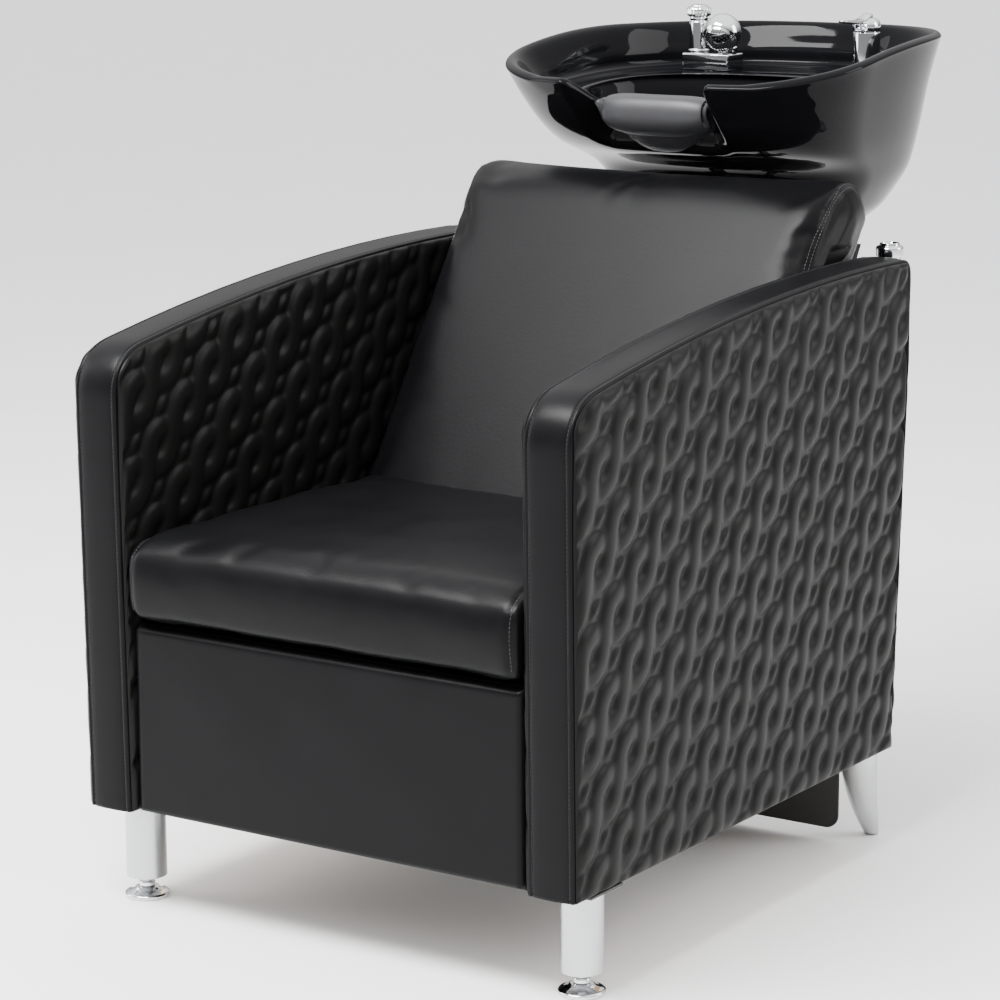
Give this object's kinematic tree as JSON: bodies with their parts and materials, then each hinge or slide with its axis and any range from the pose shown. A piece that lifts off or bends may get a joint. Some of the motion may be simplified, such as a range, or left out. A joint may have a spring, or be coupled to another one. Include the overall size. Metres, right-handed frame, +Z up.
{
  "type": "shampoo backwash unit",
  "caption": "Upholstered salon armchair with quilted arms and a reclined back, with a tilting ceramic shampoo basin, neck rest, hand spray and lever mixer behind it.",
  "frame": {"origin": "middle of the overall footprint, on the floor under the feet", "axes": "+Z up; -Y is the way the client faces, so the basin is at +Y; +X is the right arm as seen from in front of the chair"},
  "size_m": [0.64, 1.1152, 0.941],
  "materials": {
    "black_vinyl": "satin",
    "quilted_vinyl": "satin",
    "timber": "raw plywood",
    "satin_metal": "satin",
    "chrome": "polished",
    "black_steel": "powder coat",
    "plain_steel": "zinc plated",
    "black_ceramic": "high gloss glaze",
    "gel": "matt with a moulded pebble grip",
    "seal_rubber": "matt"
  },
  "bodies": {
    "chair": {"arm_core_left": "timber", "arm_core_right": "timber", "arm_band_left": "black_vinyl", "arm_band_right": "black_vinyl", "arm_outer_panel_left": "quilted_vinyl", "arm_outer_panel_right": "quilted_vinyl", "arm_inner_panel_left": "quilted_vinyl", "arm_inner_panel_right": "quilted_vinyl", "seat_cushion": "black_vinyl", "seat_board": "timber", "front_panel": "black_vinyl", "front_rail": "timber", "rear_rail": "timber", "backrest_cushion": "black_vinyl", "backrest_board": "timber", "backrest_bracket_left": "plain_steel", "backrest_bracket_right": "plain_steel", "front_leg_plate_left": "black_steel", "front_leg_plate_right": "black_steel", "front_leg_left": "satin_metal", "front_leg_right": "satin_metal", "rear_leg_plate_left": "black_steel", "rear_leg_plate_right": "black_steel", "rear_leg_left": "satin_metal", "rear_leg_right": "satin_metal", "rear_valance": "black_steel", "post_bracket_left": "black_steel", "post_bracket_right": "black_steel", "post_left": "chrome", "post_right": "chrome", "post_cap_left": "chrome", "post_cap_right": "chrome", "cross_beam": "plain_steel", "tilt_bracket": "black_steel", "tilt_axle": "plain_steel"},
    "basin_unit": {"basin_cradle": "black_steel", "cradle_seal": "seal_rubber", "basin": "black_ceramic", "basin_base": "black_ceramic", "neck_rest": "gel", "waste_body": "chrome", "waste_nut": "chrome", "spray_block": "chrome", "spray_block_nut": "plain_steel", "breaker_body": "chrome", "breaker_cap": "chrome", "spray_socket": "chrome", "mixer_body": "chrome", "mixer_nut": "plain_steel", "inlet_tail_hot": "plain_steel", "inlet_tail_cold": "plain_steel"},
    "clamp": {"tilt_lever": "black_steel"},
    "mixer_swivel": {"mixer_cap": "chrome"},
    "mixer_handle": {"mixer_lever": "chrome"},
    "hand_spray": {"spray_head": "chrome"},
    "strainer_cup": {"strainer": "chrome"},
    "foot_left": {"foot_stem_left": "chrome", "foot_disc_left": "chrome"},
    "foot_right": {"foot_stem_right": "chrome", "foot_disc_right": "chrome"}
  },
  "joints": [
    {"name": "basin_tilt", "type": "hinge", "parent": "chair", "child": "basin_unit", "pos_m": [0, 0.2756, 0.628], "axis": [-1, 0, 0], "range_deg": [0, 12]},
    {"name": "clamp_turn", "type": "hinge", "parent": "chair", "child": "clamp", "pos_m": [0.06, 0.2756, 0.628], "axis": [1, 0, 0], "range_deg": [-30, 60]},
    {"name": "mixer_turn", "type": "hinge", "parent": "basin_unit", "child": "mixer_swivel", "pos_m": [0.118, 0.4156, 0.92], "axis": [0, 0, 1], "range_deg": [-45, 45]},
    {"name": "mixer_lift", "type": "hinge", "parent": "mixer_swivel", "child": "mixer_handle", "pos_m": [0.118, 0.4156, 0.923], "axis": [-1, 0, 0], "range_deg": [0, 20]},
    {"name": "spray_lift", "type": "slide", "parent": "basin_unit", "child": "hand_spray", "axis": [0, 0, 1], "range_m": [0, 0.2]},
    {"name": "strainer_lift", "type": "slide", "parent": "basin_unit", "child": "strainer_cup", "axis": [0, 0, 1], "range_m": [0, 0.06]},
    {"name": "foot_screw_left", "type": "slide", "parent": "chair", "child": "foot_left", "axis": [0, 0, -1], "range_m": [0, 0.012]},
    {"name": "foot_screw_right", "type": "slide", "parent": "chair", "child": "foot_right", "axis": [0, 0, -1], "range_m": [0, 0.012]}
  ]
}
